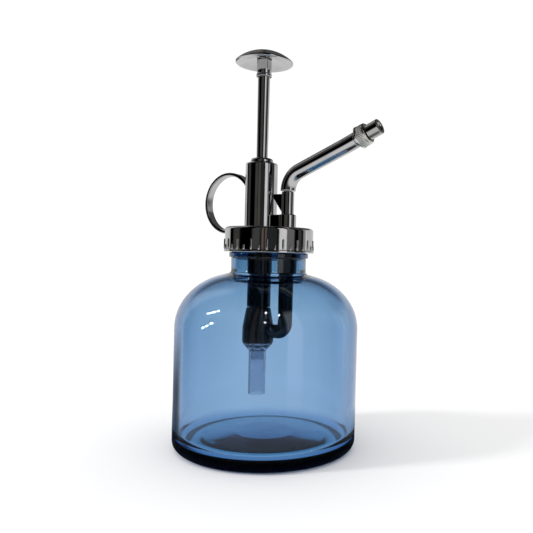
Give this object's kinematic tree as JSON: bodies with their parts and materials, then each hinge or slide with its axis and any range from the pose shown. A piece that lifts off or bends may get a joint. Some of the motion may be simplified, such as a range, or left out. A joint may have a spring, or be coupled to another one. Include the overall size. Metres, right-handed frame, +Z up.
{
  "type": "glass hand mister",
  "caption": "Round blue glass bottle with a screw-on chrome plunger pump, finger ring, thumb button and bent spout with an adjustable mist nozzle.",
  "frame": {"origin": "centre of the bottle's flat base", "axes": "+Z up along the bottle's axis, +X towards the nozzle, in the plane of the spout, pump and finger ring"},
  "size_m": [0.1002, 0.085, 0.1853],
  "materials": {
    "blue_glass": "clear blue soda glass, polished",
    "chrome_plate": "bright chrome plate",
    "satin_nickel": "satin nickel",
    "stainless_steel": "plain",
    "dark_plastic": "smooth moulded",
    "clear_plastic": "translucent, natural",
    "white_plastic": "plain",
    "black_rubber": "matt"
  },
  "bodies": {
    "bottle": {"bottle": "blue_glass"},
    "liner": {"cap_liner": "white_plastic"},
    "head": {"pump_head": "chrome_plate", "rod_guide": "chrome_plate", "guide_washer": "black_rubber", "pump_cylinder": "dark_plastic", "valve_housing": "dark_plastic", "inlet_fitting": "clear_plastic", "dip_tube": "clear_plastic", "inlet_ball_cage": "white_plastic", "delivery_elbow": "dark_plastic", "delivery_tube": "dark_plastic", "delivery_socket": "dark_plastic", "outlet_ball_cage": "white_plastic", "spout_tube": "chrome_plate", "nozzle_nipple": "chrome_plate", "return_spring": "stainless_steel"},
    "plunger": {"thumb_button": "chrome_plate", "button_collar": "chrome_plate", "plunger_rod": "chrome_plate", "piston": "white_plastic", "piston_seal": "black_rubber", "piston_nut": "stainless_steel"},
    "inlet_ball": {"inlet_ball": "stainless_steel"},
    "outlet_ball": {"outlet_ball": "stainless_steel"},
    "nozzle_seal": {"nozzle_washer": "black_rubber"},
    "nozzle": {"nozzle_nut": "satin_nickel", "nozzle_tip": "satin_nickel", "swirl_insert": "white_plastic"}
  },
  "joints": [
    {"name": "head_lift", "type": "slide", "parent": "bottle", "child": "liner", "axis": [0, 0, 1], "range_m": [0, 0.0036]},
    {"name": "head_turn", "type": "hinge", "parent": "liner", "child": "head", "pos_m": [0, 0, 0.0948], "axis": [0, 0, 1], "range_deg": [0, 300]},
    {"name": "plunger_stroke", "type": "slide", "parent": "head", "child": "plunger", "axis": [0, 0, 1], "range_m": [-0.036, 0], "stiffness_N_per_m": 150, "springref_m": 0.02, "deforming": ["return_spring"]},
    {"name": "inlet_ball_lift", "type": "slide", "parent": "head", "child": "inlet_ball", "axis": [0, 0, 1], "range_m": [0, 0.0015]},
    {"name": "outlet_ball_lift", "type": "slide", "parent": "head", "child": "outlet_ball", "axis": [0, 0, 1], "range_m": [0, 0.0015]},
    {"name": "nozzle_advance", "type": "slide", "parent": "head", "child": "nozzle_seal", "axis": [0.9171, 0, 0.3987], "range_m": [0, 0.0005625]},
    {"name": "nozzle_turn", "type": "hinge", "parent": "nozzle_seal", "child": "nozzle", "pos_m": [0.0464, 0, 0.1403], "axis": [0.9171, 0, 0.3987], "range_deg": [0, 270]}
  ],
  "couplings": [
    {"joint": "head_lift", "follows": "head_turn", "m_per_rad": 0.00067323},
    {"joint": "nozzle_turn", "follows": "nozzle_advance", "rad_per_m": 8377.6}
  ]
}
